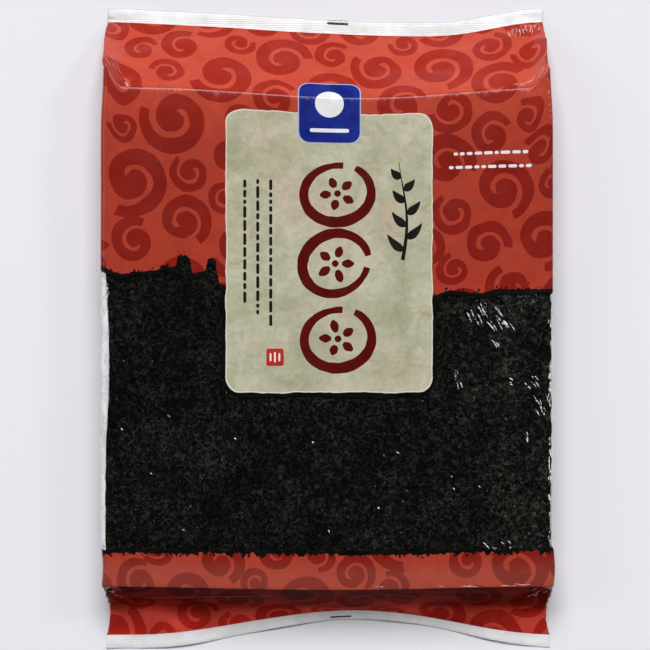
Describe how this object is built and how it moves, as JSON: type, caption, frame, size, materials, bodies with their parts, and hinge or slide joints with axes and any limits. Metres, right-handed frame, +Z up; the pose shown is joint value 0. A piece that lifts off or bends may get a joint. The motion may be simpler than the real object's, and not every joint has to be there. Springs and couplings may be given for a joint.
{
  "type": "sealed pack of nori sheets",
  "caption": "Flat brick-shaped film pack of dried seaweed sheets, lying on its back, with printed ends, a clear window across its middle and a sealed strip at each end",
  "frame": {"origin": "under the middle of the pack's outline, at the level of the surface it lies on", "axes": "+X across the pack to the right as its front is seen, +Y towards the pack's top end, +Z up out of its front face"},
  "size_m": [0.196, 0.2838, 0.027],
  "materials": {
    "printed_film": "thin plastic film printed brick red with darker red scrolls, half gloss, softly creased",
    "clear_film": "clear thin plastic film, glossy, milky where the layers are sealed together",
    "nori": "pressed dried seaweed, green black, crinkled and fibrous with a faint satin sheen"
  },
  "bodies": {
    "root": {"nori_pack": "printed_film"}
  },
  "joints": []
}
